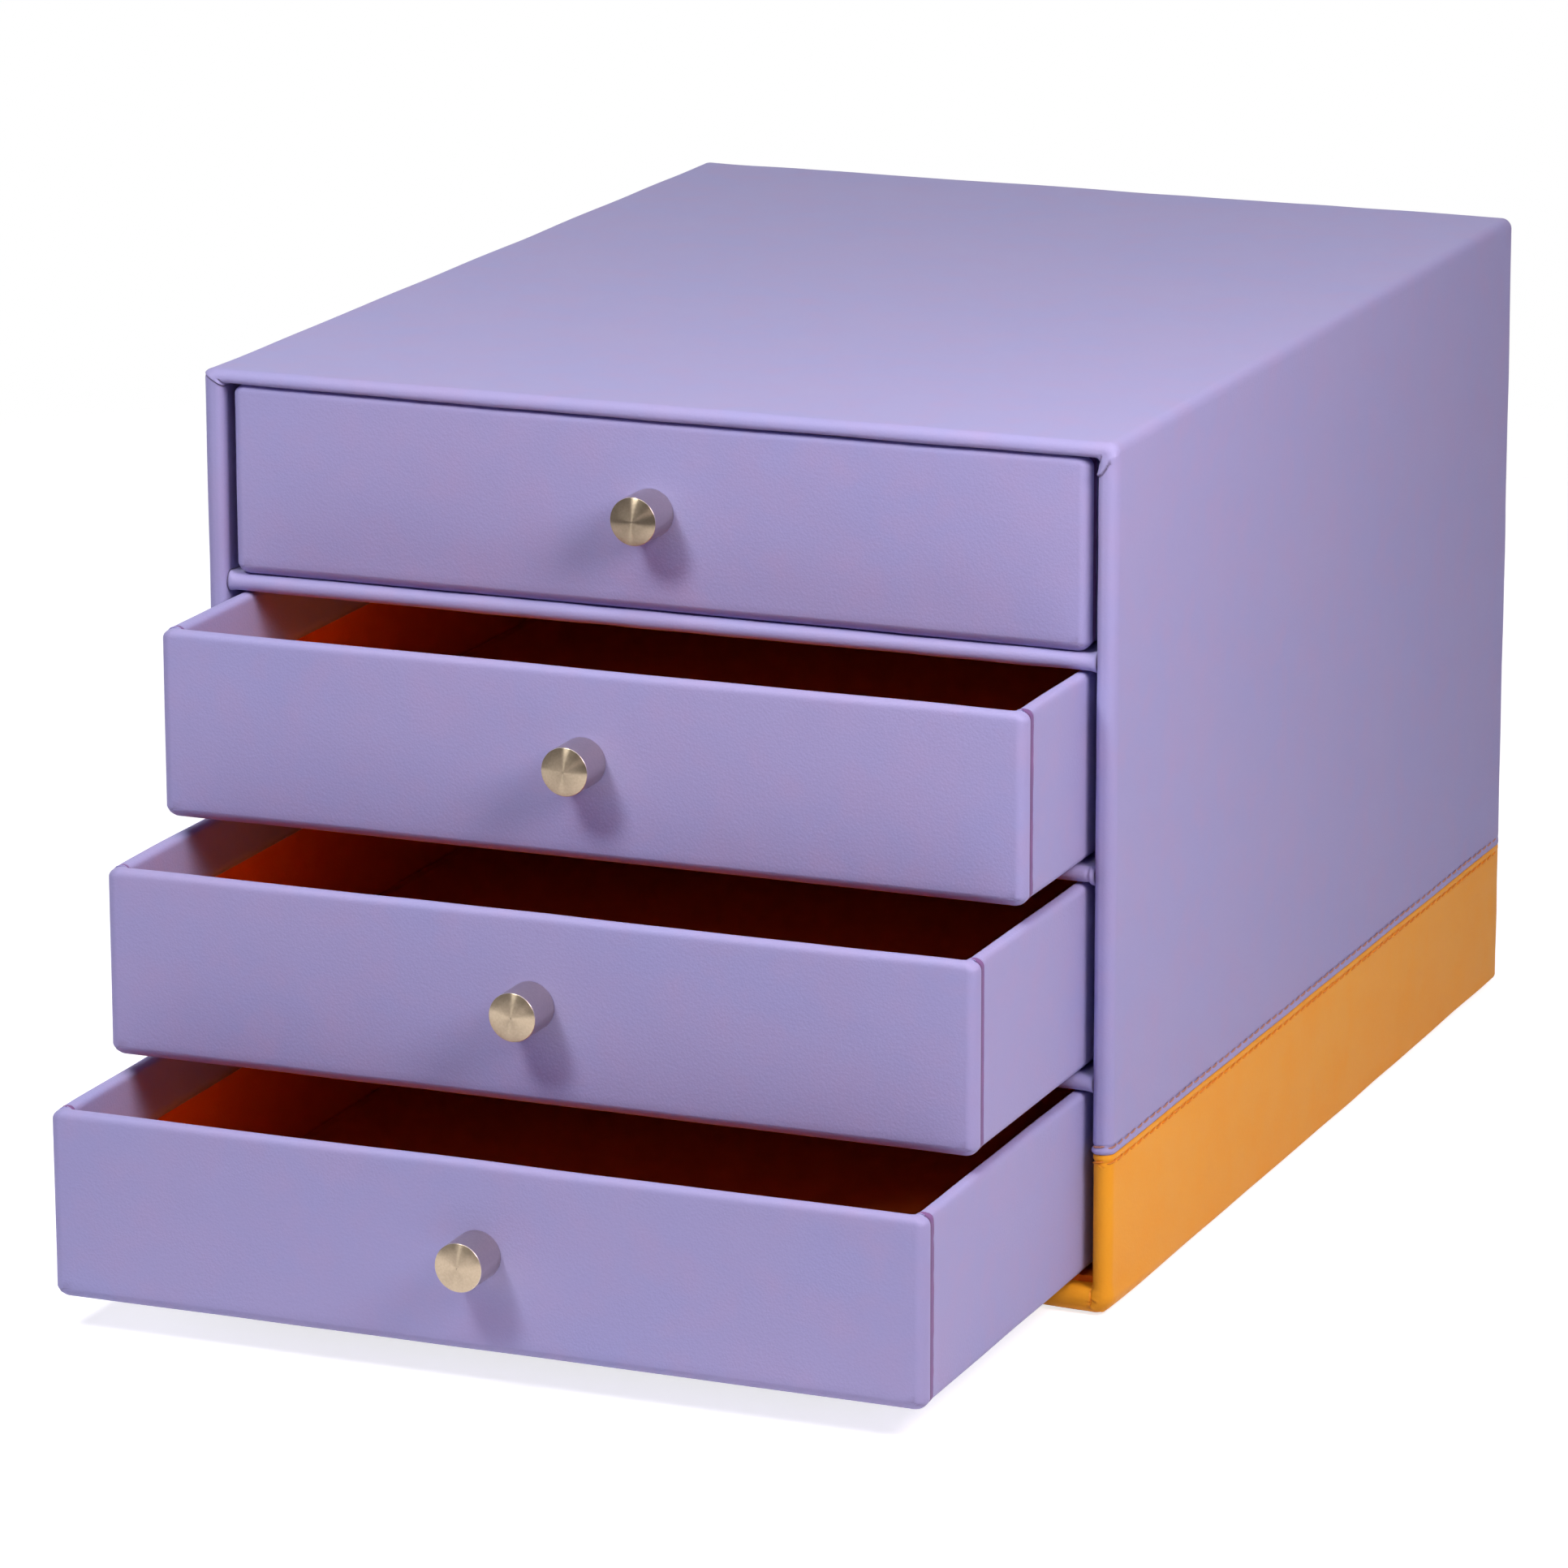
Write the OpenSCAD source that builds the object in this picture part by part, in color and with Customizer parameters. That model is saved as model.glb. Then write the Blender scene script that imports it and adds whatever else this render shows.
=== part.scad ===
// Desktop drawer chest: a board case covered in leatherette, with four
// open-top drawers that slide on three shelves and a floor panel.
// Millimetres. Origin at the centre of the case's footprint on the table,
// +X to the right, the drawers open towards -Y, +Z up.

/* [Case] */
// Outer width of the case
case_w = 260; // [220:1:340]
// Outer depth of the case, from its front edge to its back edge
case_d = 344; // [260:1:420]
// Radius of the case's outer edges
case_r = 3.5; // [1.5:0.1:4.2]
// Height above the table of the seam between the upper cover and the base cover
seam_z = 43.6; // [20:0.1:60]

/* [Case boards] */
// Thickness of the two side boards
side_board_t = 4; // [3:0.1:6]
// Thickness of the top board
top_board_t = 2.8; // [2.8:0.1:5]
// Thickness of the base board
base_board_t = 4.8; // [3:0.1:8]
// Thickness of the back board
back_board_t = 3; // [2:0.1:6]
// Thickness of each shelf board
shelf_board_t = 3.2; // [2:0.1:6]
// Thickness of the floor panel that the lowest drawer slides on
floor_panel_t = 1.8; // [1:0.1:4]
// Distance of the floor panel behind the case's front edge
floor_panel_inset = 6; // [3:0.5:20]
// Distance of the shelf beads behind the case's front edge
shelf_inset = 0.8; // [0.2:0.1:3]

/* [Covers] */
// Thickness of the leatherette
skin_t = 0.8; // [0.5:0.05:1]
// Depth of the case cover that is turned in at the front opening
turn_in = 15; // [8:0.5:30]
// Thickness of the liner under the base
liner_t = 0.6; // [0.4:0.1:2]
// Distance of the base liner inside the case's outline
liner_inset = 4; // [1:0.1:10]
// Distance of the back panel inside the case's outline
back_panel_inset = 6; // [4.5:0.5:20]

/* [Drawers] */
// Height of each drawer
drawer_h = 50.6; // [30:0.1:90]
// Thickness of the drawers' wall boards
drawer_board_t = 2.8; // [2:0.1:5]
// Thickness of the drawers' floor boards
drawer_floor_t = 2; // [1.5:0.1:4]
// Radius of the drawers' upright corners and lower edges
drawer_r = 3; // [1.5:0.1:3.5]
// Set-back of a drawer's side cover behind the wrapped end of its front
side_step = 0.4; // [0.1:0.05:0.8]
// Depth of the drawers' covers that is turned in over their rims
drawer_turn_in = 16.8; // [8:0.1:22]

/* [Clearances] */
// Gap at each side of a drawer
side_gap = 2.4; // [1:0.1:4]
// Gap under a drawer
under_gap = 0.3; // [0.3:0.05:1]
// Gap over a drawer
over_gap = 0.7; // [0.4:0.1:3]
// Gap behind a closed drawer
back_gap = 4.2; // [2:0.1:20]
// Distance of a closed drawer's front behind the case's front edge
front_recess = 1.2; // [0:0.1:3]

/* [Knobs] */
// Diameter of the knob
knob_d = 13; // [9:0.5:20]
// Length of the knob
knob_l = 12.8; // [11:0.1:25]
// Bevel round the knob's face
knob_bevel = 0.4; // [0.2:0.1:0.8]
// Height of the knob above the middle of the drawer's front
knob_rise = 1.6; // [-3:0.1:3]
// Diameter of the knob's screw
screw_d = 4; // [3:0.5:5]
// Depth that the screw goes into the knob
screw_grip = 8; // [4:0.5:9]
// Diameter of the screw's head
screw_head_d = 8; // [7:0.5:12]
// Height of the screw's head
screw_head_h = 2.2; // [1.5:0.1:3]
// Radial clearance between the screw and the holes in the drawer's front
screw_gap = 0.2; // [0.1:0.05:0.5]
// Radial clearance between the screw and the knob's thread
thread_gap = 0.05; // [0.02:0.01:0.1]

/* [Stored pose] */
// How far the top drawer is pulled out
pull_1 = 0; // [0:0.1:200]
// How far the second drawer is pulled out
pull_2 = 45.2; // [0:0.1:200]
// How far the third drawer is pulled out
pull_3 = 79.2; // [0:0.1:200]
// How far the bottom drawer is pulled out
pull_4 = 113.7; // [0:0.1:200]

/* [Hidden] */
$fn = 48;
// Number of drawers, from the top one, 1, to the bottom one
drawer_count = 4;
pulls = [pull_1, pull_2, pull_3, pull_4];
// Overshoot of cutting tools
eps = 0.5;

// Wall thicknesses with a cover on both faces
side_t = side_board_t + 2 * skin_t;
top_t = top_board_t + 2 * skin_t;
base_t = base_board_t + 2 * skin_t;
back_t = back_board_t + 2 * skin_t;
shelf_t = shelf_board_t + 2 * skin_t;
drawer_wall_t = drawer_board_t + 2 * skin_t;

// Places in the case
front_y = -case_d / 2;
back_y = case_d / 2;
mouth_w = case_w - 2 * side_t;
mouth_z0 = liner_t + base_t;
bay_z0 = mouth_z0 + floor_panel_t;
bay_h = under_gap + drawer_h + over_gap;
bay_pitch = bay_h + shelf_t;
mouth_z1 = bay_z0 + drawer_count * bay_h + (drawer_count - 1) * shelf_t;
case_top_z = mouth_z1 + top_t;
inner_back_y = back_y - back_t;
back_board_y = back_y - skin_t - back_board_t;

// Drawer sizes
drawer_w = mouth_w - 2 * side_gap;
drawer_l = inner_back_y - back_gap - (front_y + front_recess);
drawer_side_x = drawer_w / 2 - side_step;
drawer_inner_x = drawer_side_x - drawer_wall_t;
drawer_floor_z = skin_t + drawer_floor_t;
drawer_turn_z = drawer_h - drawer_turn_in;
// Depths at which a drawer's side and floor boards start and end
drawer_board_y0 = skin_t + drawer_board_t;
drawer_board_y1 = drawer_l - skin_t - drawer_board_t;
knob_z = drawer_h / 2 + knob_rise;

case_nodes = [
    "base_liner", "base_board", "left_side_board", "right_side_board", "top_board", "back_board",
    "upper_cover", "base_cover", "back_panel", "case_lining", "floor_panel"
];
shelf_parts = ["board", "cover"];
drawer_parts = [
    "front_board", "left_board", "right_board", "back_board", "floor_board",
    "front_cover", "wall_cover", "wall_lining", "floor_lining", "knob", "knob_screw"
];

lavender = [0.62, 0.56, 0.77];
orange = [0.88, 0.55, 0.22];
lining_orange = [0.80, 0.25, 0.05];
greyboard = [0.55, 0.52, 0.47];
liner_black = [0.10, 0.09, 0.10];
steel = [0.68, 0.66, 0.63];

// Height of the floor that drawer i slides on
function bay_z(i) = bay_z0 + (drawer_count - i) * bay_pitch;

// ---- Shared shapes ----

// A box from one corner to the opposite one
module span(low, high) {
    translate(low) cube(high - low);
}

// Rectangle centred on X with its lower edge on Y = 0 and round corners
module round_rect(w, l, r) {
    translate([-w / 2 + r, 0]) square([w - 2 * r, l]);
    translate([-w / 2, r]) square([w, l - 2 * r]);
    for (x = [-w / 2 + r, w / 2 - r], y = [r, l - r]) translate([x, y]) circle(r);
}

// Block centred on X, from Y = 0 and Z = 0, with all its edges rounded.
// With open_top its upper edges stay sharp.
module soft_block(w, l, h, r, open_top = false) {
    round_h = open_top ? h + 2 * r : h;
    intersection() {
        linear_extrude(h) round_rect(w, l, r);
        translate([0, l, 0]) rotate([90, 0, 0]) linear_extrude(l) round_rect(w, round_h, r);
        translate([-w / 2, l / 2, 0]) rotate([90, 0, 90]) linear_extrude(w) round_rect(l, round_h, r);
    }
}

// Upright slab along X from X = -l / 2, from Y = 0 and Z = 0, with a half-round top
module rim_slab(l, t, h) {
    translate([-l / 2, 0, 0]) cube([l, t, h - t / 2]);
    translate([-l / 2, t / 2, h - t / 2]) rotate([0, 90, 0]) cylinder(h = l, r = t / 2);
}

// ---- Case ----

// The case's outer form, drawn in by a distance on every side
module case_form(inset = 0) {
    translate([0, front_y + inset, liner_t + inset])
        soft_block(case_w - 2 * inset, case_d - 2 * inset, case_top_z - liner_t - 2 * inset, case_r - inset);
}

// The front opening between two depths, grown by a distance sideways and up and down
module mouth(y0, y1, grow = 0) {
    span([-mouth_w / 2 - grow, y0, mouth_z0 - grow], [mouth_w / 2 + grow, y1, mouth_z1 + grow]);
}

// The case's boards are cut from the form inside the leatherette
module case_board(low, high) {
    color(greyboard) intersection() {
        case_form(skin_t);
        span(low, high);
    }
}

module left_side_board() {
    case_board([-case_w / 2, front_y, 0], [-case_w / 2 + skin_t + side_board_t, back_board_y, case_top_z]);
}

module right_side_board() {
    mirror([1, 0, 0]) left_side_board();
}

module top_board() {
    x = case_w / 2 - skin_t - side_board_t;
    case_board([-x, front_y, case_top_z - skin_t - top_board_t], [x, back_board_y, case_top_z]);
}

module base_board() {
    x = case_w / 2 - skin_t - side_board_t;
    case_board([-x, front_y, 0], [x, back_board_y, liner_t + skin_t + base_board_t]);
}

module back_board() {
    case_board([-case_w / 2, back_board_y, 0], [case_w / 2, back_y, case_top_z]);
}

// The leatherette outside the boards, round the front edges and turned in,
// between two heights
module case_skin(z0, z1) {
    intersection() {
        difference() {
            union() {
                difference() {
                    case_form();
                    case_form(skin_t);
                }
                mouth(front_y + skin_t, front_y + turn_in, skin_t);
            }
            mouth(front_y - eps, front_y + turn_in + eps);
        }
        span([-case_w, -case_d, z0], [case_w, case_d, z1]);
    }
}

module upper_cover() {
    color(lavender) case_skin(seam_z, case_top_z + eps);
}

module base_cover() {
    color(orange) case_skin(0, seam_z);
}

module back_panel() {
    color(lavender) span(
        [-case_w / 2 + back_panel_inset, back_y, liner_t + back_panel_inset],
        [case_w / 2 - back_panel_inset, back_y + skin_t, case_top_z - back_panel_inset]
    );
}

module case_lining() {
    color(lavender) difference() {
        mouth(front_y + turn_in, inner_back_y + skin_t, skin_t);
        mouth(front_y, inner_back_y);
    }
}

module base_liner() {
    x = case_w / 2 - liner_inset;
    color(liner_black) span([-x, front_y + liner_inset, 0], [x, back_y - liner_inset, liner_t]);
}

module floor_panel() {
    color(lining_orange) span(
        [-mouth_w / 2, front_y + floor_panel_inset, mouth_z0],
        [mouth_w / 2, inner_back_y, bay_z0]
    );
}

// A shelf from its underside at Z = 0, drawn in by a distance at its front, top and
// bottom, and lengthened at its ends and back. Its front edge is half round, and its
// ends and back meet the case lining.
module shelf_form(inset = 0, longer = 0) {
    t = shelf_t - 2 * inset;
    w = mouth_w + 2 * longer;
    y = front_y + shelf_inset + inset + t / 2;
    translate([-w / 2, y, inset]) {
        cube([w, inner_back_y + longer - y, t]);
        translate([0, 0, t / 2]) rotate([0, 90, 0]) cylinder(h = w, r = t / 2);
    }
}

// Shelf i lies under drawer i
module shelf_board(i) {
    color(greyboard) translate([0, 0, bay_z(i) - shelf_t]) shelf_form(skin_t);
}

// The cover goes round the board's front edge and is open at the ends and back
module shelf_cover(i) {
    color(lavender) translate([0, 0, bay_z(i) - shelf_t]) difference() {
        shelf_form();
        shelf_form(skin_t, longer = eps);
    }
}

// ---- Drawers, each from X centre, Y = 0 at its face and Z = 0 at its underside ----

// Moves a drawer's part to its place in the case, as far out as it is pulled
module in_bay(i) {
    translate([0, front_y + front_recess - pulls[i - 1], bay_z(i) + under_gap]) children();
}

// The form of a whole drawer, drawn in by a distance at its sides, ends and underside
module drawer_form(half_w, inset = 0) {
    w = 2 * (half_w - inset);
    translate([0, inset, inset])
        soft_block(w, drawer_l - 2 * inset, drawer_h - inset, drawer_r - inset, open_top = true);
}

// A wall's slab along X between two places, drawn in by a distance all round
module wall_slab(x0, x1, inset) {
    translate([(x0 + x1) / 2, inset, inset])
        rim_slab(x1 - x0, drawer_wall_t - 2 * inset, drawer_h - 2 * inset);
}

// The front wall, whose ends stand proud of the side walls
module front_wall(inset = 0) {
    intersection() {
        drawer_form(drawer_w / 2, inset);
        wall_slab(-drawer_w, drawer_w, inset);
    }
}

module back_wall(inset = 0) {
    intersection() {
        drawer_form(drawer_side_x, inset);
        translate([0, drawer_l - drawer_wall_t, 0]) wall_slab(-drawer_w, drawer_w, inset);
    }
}

// The left wall between two depths
module left_wall(y0, y1, inset = 0) {
    intersection() {
        drawer_form(drawer_side_x, inset);
        translate([-drawer_side_x + drawer_wall_t, 0, 0]) rotate([0, 0, 90]) wall_slab(y0, y1, inset);
    }
}

module screw_hole() {
    translate([0, -eps, knob_z]) rotate([-90, 0, 0])
        cylinder(h = drawer_wall_t + 2 * eps, r = screw_d / 2 + screw_gap);
}

module drawer_front_board() {
    color(greyboard) difference() {
        front_wall(skin_t);
        screw_hole();
    }
}

module drawer_back_board() {
    color(greyboard) back_wall(skin_t);
}

module drawer_left_board() {
    color(greyboard) left_wall(drawer_board_y0, drawer_board_y1, skin_t);
}

module drawer_right_board() {
    mirror([1, 0, 0]) drawer_left_board();
}

module drawer_floor_board() {
    x = drawer_side_x - skin_t - drawer_board_t;
    color(greyboard) span([-x, drawer_board_y0, skin_t], [x, drawer_board_y1, drawer_floor_z]);
}

// Leatherette wrapped round the front board and its ends, and over its rim
module drawer_front_cover() {
    color(lavender) difference() {
        intersection() {
            front_wall();
            union() {
                span([-drawer_w, 0, 0], [drawer_w, drawer_board_y0, drawer_h]);
                span([-drawer_inner_x, 0, drawer_turn_z], [drawer_inner_x, drawer_wall_t, drawer_h]);
            }
        }
        front_wall(skin_t);
        screw_hole();
    }
}

// Leatherette round the side and back boards and under the floor board
module drawer_wall_cover() {
    color(lavender) difference() {
        union() {
            for (side = [0, 1]) mirror([side, 0, 0]) left_wall(drawer_board_y0, drawer_l);
            back_wall();
            intersection() {
                drawer_form(drawer_side_x);
                span([-drawer_w, drawer_board_y0, 0], [drawer_w, drawer_l, skin_t]);
            }
        }
        for (side = [0, 1]) mirror([side, 0, 0])
            left_wall(drawer_board_y0 - eps, drawer_board_y1 + eps, skin_t);
        drawer_back_board();
        drawer_floor_board();
        lining_cut();
    }
}

// Clears the inner faces of the walls below the covers' turned-in edges, down into the boards
module lining_cut() {
    grow = skin_t + drawer_board_t / 2;
    span(
        [-drawer_inner_x - grow, drawer_wall_t - grow, skin_t + drawer_floor_t / 2],
        [drawer_inner_x + grow, drawer_l - drawer_wall_t + grow, drawer_turn_z]
    );
}

// The lining of the inner faces, from the floor board up to the covers' turned-in edges
module drawer_wall_lining() {
    x = drawer_inner_x;
    y1 = drawer_l - drawer_wall_t;
    color(lining_orange) difference() {
        span([-x - skin_t, drawer_wall_t - skin_t, drawer_floor_z], [x + skin_t, y1 + skin_t, drawer_turn_z]);
        span([-x, drawer_wall_t, 0], [x, y1, drawer_h]);
        screw_hole();
    }
}

module drawer_floor_lining() {
    color(lining_orange) span(
        [-drawer_inner_x, drawer_wall_t, drawer_floor_z],
        [drawer_inner_x, drawer_l - drawer_wall_t, drawer_floor_z + skin_t]
    );
}

// The knob's back lies on the drawer's face, with a blind hole for its screw
module drawer_knob() {
    color(steel) translate([0, 0, knob_z]) rotate([90, 0, 0]) difference() {
        union() {
            cylinder(h = knob_l - knob_bevel, d = knob_d);
            translate([0, 0, knob_l - knob_bevel])
                cylinder(h = knob_bevel, d1 = knob_d, d2 = knob_d - 2 * knob_bevel);
        }
        translate([0, 0, -eps]) cylinder(h = screw_grip + 2 * eps, r = screw_d / 2 + thread_gap);
    }
}

// The screw's head lies on the inner face of the drawer's front
module drawer_knob_screw() {
    color(steel) translate([0, drawer_wall_t, knob_z]) rotate([90, 0, 0]) {
        cylinder(h = drawer_wall_t + screw_grip, d = screw_d);
        translate([0, 0, -screw_head_h]) cylinder(h = screw_head_h, d = screw_head_d);
    }
}

// ---- Nodes ----

base_liner();
base_board();
left_side_board();
right_side_board();
top_board();
back_board();
upper_cover();
base_cover();
back_panel();
case_lining();
floor_panel();
for (i = [1 : drawer_count - 1]) {
    shelf_board(i);
    shelf_cover(i);
}
for (i = [1 : drawer_count]) in_bay(i) {
    drawer_front_board();
    drawer_left_board();
    drawer_right_board();
    drawer_back_board();
    drawer_floor_board();
    drawer_front_cover();
    drawer_wall_cover();
    drawer_wall_lining();
    drawer_floor_lining();
    drawer_knob();
    drawer_knob_screw();
}
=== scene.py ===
import math

import bpy
import numpy as np
from mathutils import Matrix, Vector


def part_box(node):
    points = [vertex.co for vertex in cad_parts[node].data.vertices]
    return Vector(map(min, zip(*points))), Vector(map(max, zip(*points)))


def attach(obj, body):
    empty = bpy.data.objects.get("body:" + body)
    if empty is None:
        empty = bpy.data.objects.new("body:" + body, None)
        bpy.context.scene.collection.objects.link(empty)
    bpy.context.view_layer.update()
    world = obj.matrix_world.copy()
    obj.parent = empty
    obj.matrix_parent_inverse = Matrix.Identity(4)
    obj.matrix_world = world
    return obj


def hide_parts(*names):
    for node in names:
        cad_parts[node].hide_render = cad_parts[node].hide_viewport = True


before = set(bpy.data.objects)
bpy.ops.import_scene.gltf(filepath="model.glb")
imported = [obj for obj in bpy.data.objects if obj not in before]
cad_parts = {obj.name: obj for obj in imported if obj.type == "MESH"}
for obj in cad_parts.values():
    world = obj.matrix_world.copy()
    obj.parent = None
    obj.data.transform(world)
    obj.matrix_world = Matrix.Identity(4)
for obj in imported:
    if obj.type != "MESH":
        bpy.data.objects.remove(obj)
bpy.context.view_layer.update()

# Lengths are in millimetres until a mesh is made.
MM = 0.001
# The case: outer faces, walls and the mouth between them
CASE_X = 130.0
FRONT_Y, BACK_Y = -172.0, 172.0
FOOT_Z, TOP_Z = 0.6, 234.0
MOUTH_X = 124.4
MOUTH_Z0, MOUTH_Z1 = 7.0, 229.6
MOUTH_R = 1.0
# How far the covers reach into the mouth
TURN_IN = 15.0
# The seam between the two covers falls a little from front to back.
SEAM_Z = 43.6
SEAM_FRONT, SEAM_BACK = 0.7, -0.8
# How far each row of stitches lies from the seam
STITCH_OFFSET = 2.1
# The drawers, from the middle of their face at the underside: the half widths are those
# of the front, of the sides and inside.
DRAWER_H, DRAWER_L, DRAWER_R = 50.6, 334.0, 3.0
DRAWER_X, SIDE_X, INNER_X = 122.0, 121.6, 117.2
WALL_T, LINING_Z = 4.4, 3.6
# How high the orange lining goes up the walls of each drawer
TURN_Z = {1: 33.8, 2: 32.3, 3: 35.0, 4: 34.2}
KNOB_Z = 26.9


# ---- Meshes ----


def spaced(start, end, step):
    """Evenly spaced values from start to end, no more than a step apart."""
    count = max(1, int(math.ceil(abs(end - start) / step - 1e-9)))
    return np.linspace(start, end, count + 1)


def arc(centre, radius, start, end, count):
    """Points on an arc in a plane, with the angles in degrees."""
    angle = np.radians(np.linspace(start, end, count + 1))
    return np.stack([centre[0] + radius * np.cos(angle), centre[1] + radius * np.sin(angle)], 1)


def grid_faces(rows, cols):
    """Quads over a grid of points that are stored row by row."""
    corner = (np.arange(rows - 1)[:, None] * cols + np.arange(cols - 1)[None, :]).ravel()
    return np.stack([corner, corner + cols, corner + cols + 1, corner + 1], 1)


def grid_normals(points):
    """Unit normals of a grid of points, on the side that grid_faces shows."""
    across = np.gradient(points, axis=0)
    along = np.gradient(points, axis=1)
    normal = np.cross(across, along)
    length = np.linalg.norm(normal, axis=-1, keepdims=True)
    return normal / np.maximum(length, 1e-9)


def ring_index(rings, around):
    """Numbers of the points in some closed rings, and of the next point round each ring."""
    index = np.arange(rings * around).reshape(rings, around)
    return index, np.roll(index, -1, axis=1)


def facing(points, at, direction):
    """The grid, turned over if its normal at one point is against a direction."""
    if np.dot(grid_normals(points)[at], direction) < 0:
        return points[:, ::-1]
    return points


def wobble(points, wavelength, seed):
    """Smooth noise from about -1 to 1, the same for the same seed."""
    draw = np.random.default_rng(seed)
    total = np.zeros(points.shape[:-1])
    for _ in range(7):
        direction = draw.normal(size=3)
        direction *= 2 * math.pi * draw.uniform(0.6, 1.6) / (wavelength * np.linalg.norm(direction))
        total += np.sin(points @ direction + draw.uniform(0, 2 * math.pi))
    return total / 3.5


def soft_arc(middle, size, start, end, count, power):
    """Points of an arc in a plane: flatter than a circle for a power over 1, else squarer."""
    angle = np.radians(np.linspace(start, end, count))
    both = np.stack([np.cos(angle), np.sin(angle)], 1)
    return np.array(middle) + np.array(size) * np.sign(both) * np.abs(both) ** power


def bump(value, centre, width):
    """A smooth hump of height 1 round a value."""
    return np.exp(-(((value - centre) / width) ** 2))


def step_up(value, start, end):
    """0 before start, 1 after end, and smooth between them."""
    t = np.clip((value - start) / (end - start), 0, 1)
    return t * t * (3 - 2 * t)


def line_distance(points, line):
    """Signed distance of points in a plane from a line of several points, and how far past
    its ends they lie. The distance is positive to the left of the line's direction."""
    line = np.array(line, float)
    best, beyond = np.full(points.shape[:-1], 1e9), np.zeros(points.shape[:-1])
    for k, (a, b) in enumerate(zip(line[:-1], line[1:])):
        length = np.linalg.norm(b - a)
        ahead = (b - a) / length
        away = points - a
        along = away @ ahead
        gap = np.linalg.norm(away - np.clip(along, 0, length)[..., None] * ahead, axis=-1)
        side = np.sign(ahead[0] * away[..., 1] - ahead[1] * away[..., 0])
        best = np.where(gap < np.abs(best), gap * np.where(side == 0, 1, side), best)
        if k == 0:
            beyond = np.maximum(beyond, -along)
        if k == len(line) - 2:
            beyond = np.maximum(beyond, along - length)
    return best, beyond


def fold(points, line, height, width):
    """A folded edge along a line: a lobe to its left, and a thin crease beside it where shade is painted.
    """
    gap, beyond = line_distance(points, line)
    ends = bump(beyond, 0.0, 0.5)
    lobe = step_up(gap, -0.12, 0.3) * bump(np.maximum(gap, 0), 0.0, width)
    # The mark says where shade is painted in the crease beside the lobe.
    mark = bump(gap, -0.1, 0.2) * ends
    return (height * lobe - 0.3 * abs(height) * mark) * ends, mark


class Shell:
    """Grids of points that become one piece, with a value of painted shade at each point."""

    def __init__(self):
        self.points, self.faces, self.creases, self.count = [], [], [], 0

    def add(self, points, faces, crease=None):
        flat = points.reshape(-1, 3)
        self.points.append(flat)
        self.faces.extend((np.asarray(faces) + self.count).tolist())
        self.creases.append(np.zeros(len(flat)) if crease is None else crease.ravel())
        self.count += len(flat)

    def grid(self, points, crease=None):
        self.add(points, grid_faces(*points.shape[:2]), crease)

    def make(self, name, body, material, slot, replaces=(), thickness=0.0):
        """A piece of all the points, with a thickness behind its surface."""
        mesh = bpy.data.meshes.new(name)
        mesh.from_pydata((np.concatenate(self.points) * MM).tolist(), [], self.faces)
        mesh.polygons.foreach_set("use_smooth", [True] * len(mesh.polygons))
        # How much shade is painted at each point, kept as a mesh attribute that the leatherette reads.
        layer = mesh.attributes.new("crease", "FLOAT", "POINT")
        layer.data.foreach_set("value", np.clip(np.concatenate(self.creases), 0, 1))
        mesh.materials.append(material)
        obj = bpy.data.objects.new(name, mesh)
        bpy.context.scene.collection.objects.link(obj)
        if thickness:
            solid = obj.modifiers.new("thickness", "SOLIDIFY")
            solid.thickness = thickness * MM
            solid.offset = -1
        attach(obj, body)
        if replaces:
            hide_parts(*replaces)


def grid_piece(points, crease, *settings):
    """One grid of points made into a piece, with the settings of Shell.make."""
    shell = Shell()
    shell.grid(points, crease)
    shell.make(*settings)


# ---- Materials ----


def fill(tree, made, inputs):
    """A node's inputs set to values or linked to other nodes' outputs."""
    for key, source in inputs.items():
        if isinstance(source, bpy.types.NodeSocket):
            tree.links.new(source, made.inputs[key])
        else:
            made.inputs[key].default_value = source


def node(tree, kind, inputs=None, **settings):
    """A shader node with its settings and inputs."""
    made = tree.nodes.new(kind)
    for key, value in settings.items():
        setattr(made, key, value)
    fill(tree, made, inputs or {})
    return made


def new_material(name):
    """A node material with its Principled shader and the surface's own coordinates."""
    material = bpy.data.materials.new(name)
    material.use_nodes = True
    tree = material.node_tree
    place = node(tree, "ShaderNodeTexCoord").outputs["Object"]
    return material, tree, tree.nodes["Principled BSDF"], place


def mix_color(tree, factor, first, second):
    """The first colour where the factor is 0, the second where it is 1."""
    return node(tree, "ShaderNodeMix", {0: factor, 6: first, 7: second}, data_type="RGBA").outputs[2]


def ramp(tree, factor, low, high):
    """A factor stretched so that low becomes 0 and high becomes 1."""
    made = node(tree, "ShaderNodeMapRange", {"Value": factor, "From Min": low, "From Max": high})
    return made.outputs["Result"]


def spread(tree, factor, low, high):
    """A factor from 0 to 1 turned into a value from low to high."""
    made = node(tree, "ShaderNodeMapRange", {"Value": factor, "To Min": low, "To Max": high})
    return made.outputs["Result"]


def noise(tree, place, scale, detail):
    """Procedural noise over the surface."""
    made = node(tree, "ShaderNodeTexNoise", {"Vector": place, "Scale": scale, "Detail": detail})
    return made.outputs["Fac"]


def add_relief(tree, shader, height, strength, distance):
    """Fine relief on a shader's surface."""
    made = node(tree, "ShaderNodeBump", {"Height": height, "Strength": strength, "Distance": distance})
    fill(tree, shader, {"Normal": made.outputs["Normal"]})


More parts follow.
